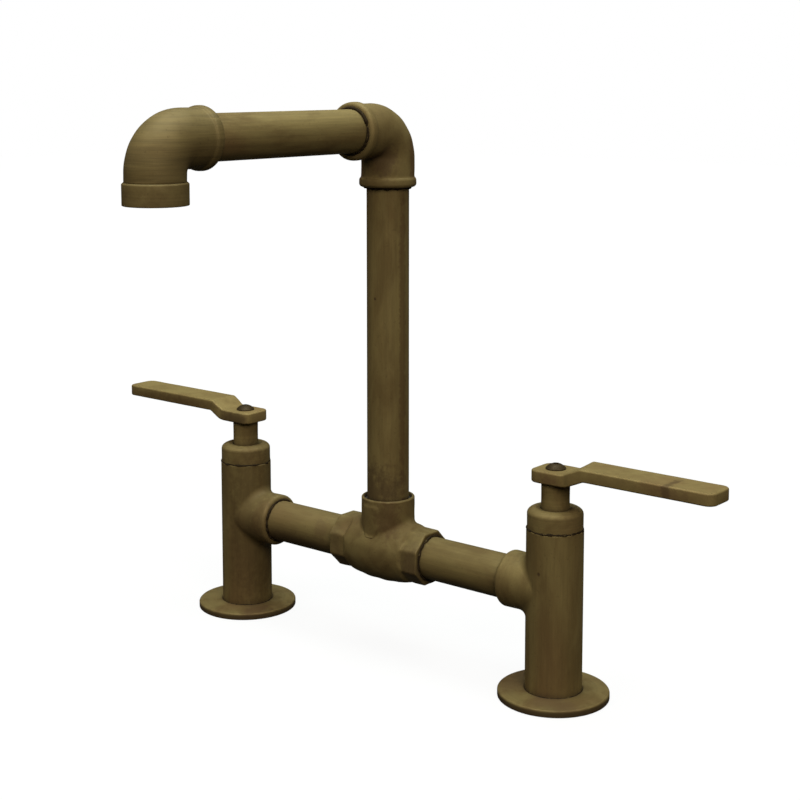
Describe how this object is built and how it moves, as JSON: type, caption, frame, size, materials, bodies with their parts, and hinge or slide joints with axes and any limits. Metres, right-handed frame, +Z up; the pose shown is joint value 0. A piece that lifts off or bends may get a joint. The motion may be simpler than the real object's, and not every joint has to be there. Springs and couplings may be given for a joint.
{
  "type": "bridge kitchen faucet",
  "caption": "Deck-mounted bridge kitchen tap made of threaded pipework, with two stepped quarter-turn levers, a tall square-cornered swivel spout and aged bronze finish.",
  "frame": {"origin": "on the deck plane, midway between the axes of the two pillars", "axes": "+X along the bridge towards the right-hand (cold) pillar, -Y towards the user and along the spout at rest, +Z up from the deck"},
  "size_m": [0.3752, 0.1949, 0.2803],
  "materials": {
    "cast_brass": "aged antique bronze patina on cast brass, satin",
    "turned_brass": "aged antique bronze patina on turned brass, satin",
    "pipe_brass": "aged antique bronze patina on drawn brass pipe, faint lengthwise brushing",
    "bar_brass": "aged antique bronze patina on flat bar, satin",
    "dark_bronze": "dark oil-rubbed bronze",
    "plain_brass": "machined brass, uncoated",
    "black_rubber": "matt",
    "white_ceramic": "lapped ceramic",
    "white_plastic": "moulded",
    "steel_mesh": "fine perforated stainless steel"
  },
  "bodies": {
    "root": {"bridge_tee": "cast_brass", "left_base_flange": "turned_brass", "left_bonnet": "turned_brass", "left_bridge_pipe": "pipe_brass", "left_cartridge_body": "plain_brass", "left_deck_gasket": "black_rubber", "left_fixed_disc": "white_ceramic", "left_pillar": "cast_brass", "left_seat_seal": "black_rubber", "right_base_flange": "turned_brass", "right_bonnet": "turned_brass", "right_bridge_pipe": "pipe_brass", "right_cartridge_body": "plain_brass", "right_deck_gasket": "black_rubber", "right_fixed_disc": "white_ceramic", "right_pillar": "cast_brass", "right_seat_seal": "black_rubber", "spout_retainer": "dark_bronze", "swivel_bush": "white_plastic"},
    "left_handle": {"left_lever": "bar_brass", "left_lever_screw": "dark_bronze", "left_moving_disc": "white_ceramic", "left_spindle": "plain_brass", "left_spindle_seals": "black_rubber", "left_stem_sleeve": "turned_brass"},
    "right_handle": {"right_lever": "bar_brass", "right_lever_screw": "dark_bronze", "right_moving_disc": "white_ceramic", "right_spindle": "plain_brass", "right_spindle_seals": "black_rubber", "right_stem_sleeve": "turned_brass"},
    "spout": {"aerator_housing": "white_plastic", "aerator_screen": "steel_mesh", "aerator_washer": "black_rubber", "flow_restrictor": "white_plastic", "front_elbow": "cast_brass", "outlet_ring": "turned_brass", "rear_elbow": "cast_brass", "riser_pipe": "pipe_brass", "spout_pipe": "pipe_brass", "swivel_seals": "black_rubber"}
  },
  "joints": [
    {"name": "left_handle_turn", "type": "hinge", "parent": "root", "child": "left_handle", "pos_m": [-0.1016, 0, 0.1], "axis": [0, 0, 1], "range_deg": [0, 90]},
    {"name": "right_handle_turn", "type": "hinge", "parent": "root", "child": "right_handle", "pos_m": [0.1016, 0, 0.1], "axis": [0, 0, 1], "range_deg": [-90, 0]},
    {"name": "spout_swivel", "type": "hinge", "parent": "root", "child": "spout", "pos_m": [0, 0, 0.07], "axis": [0, 0, 1], "continuous": true}
  ]
}
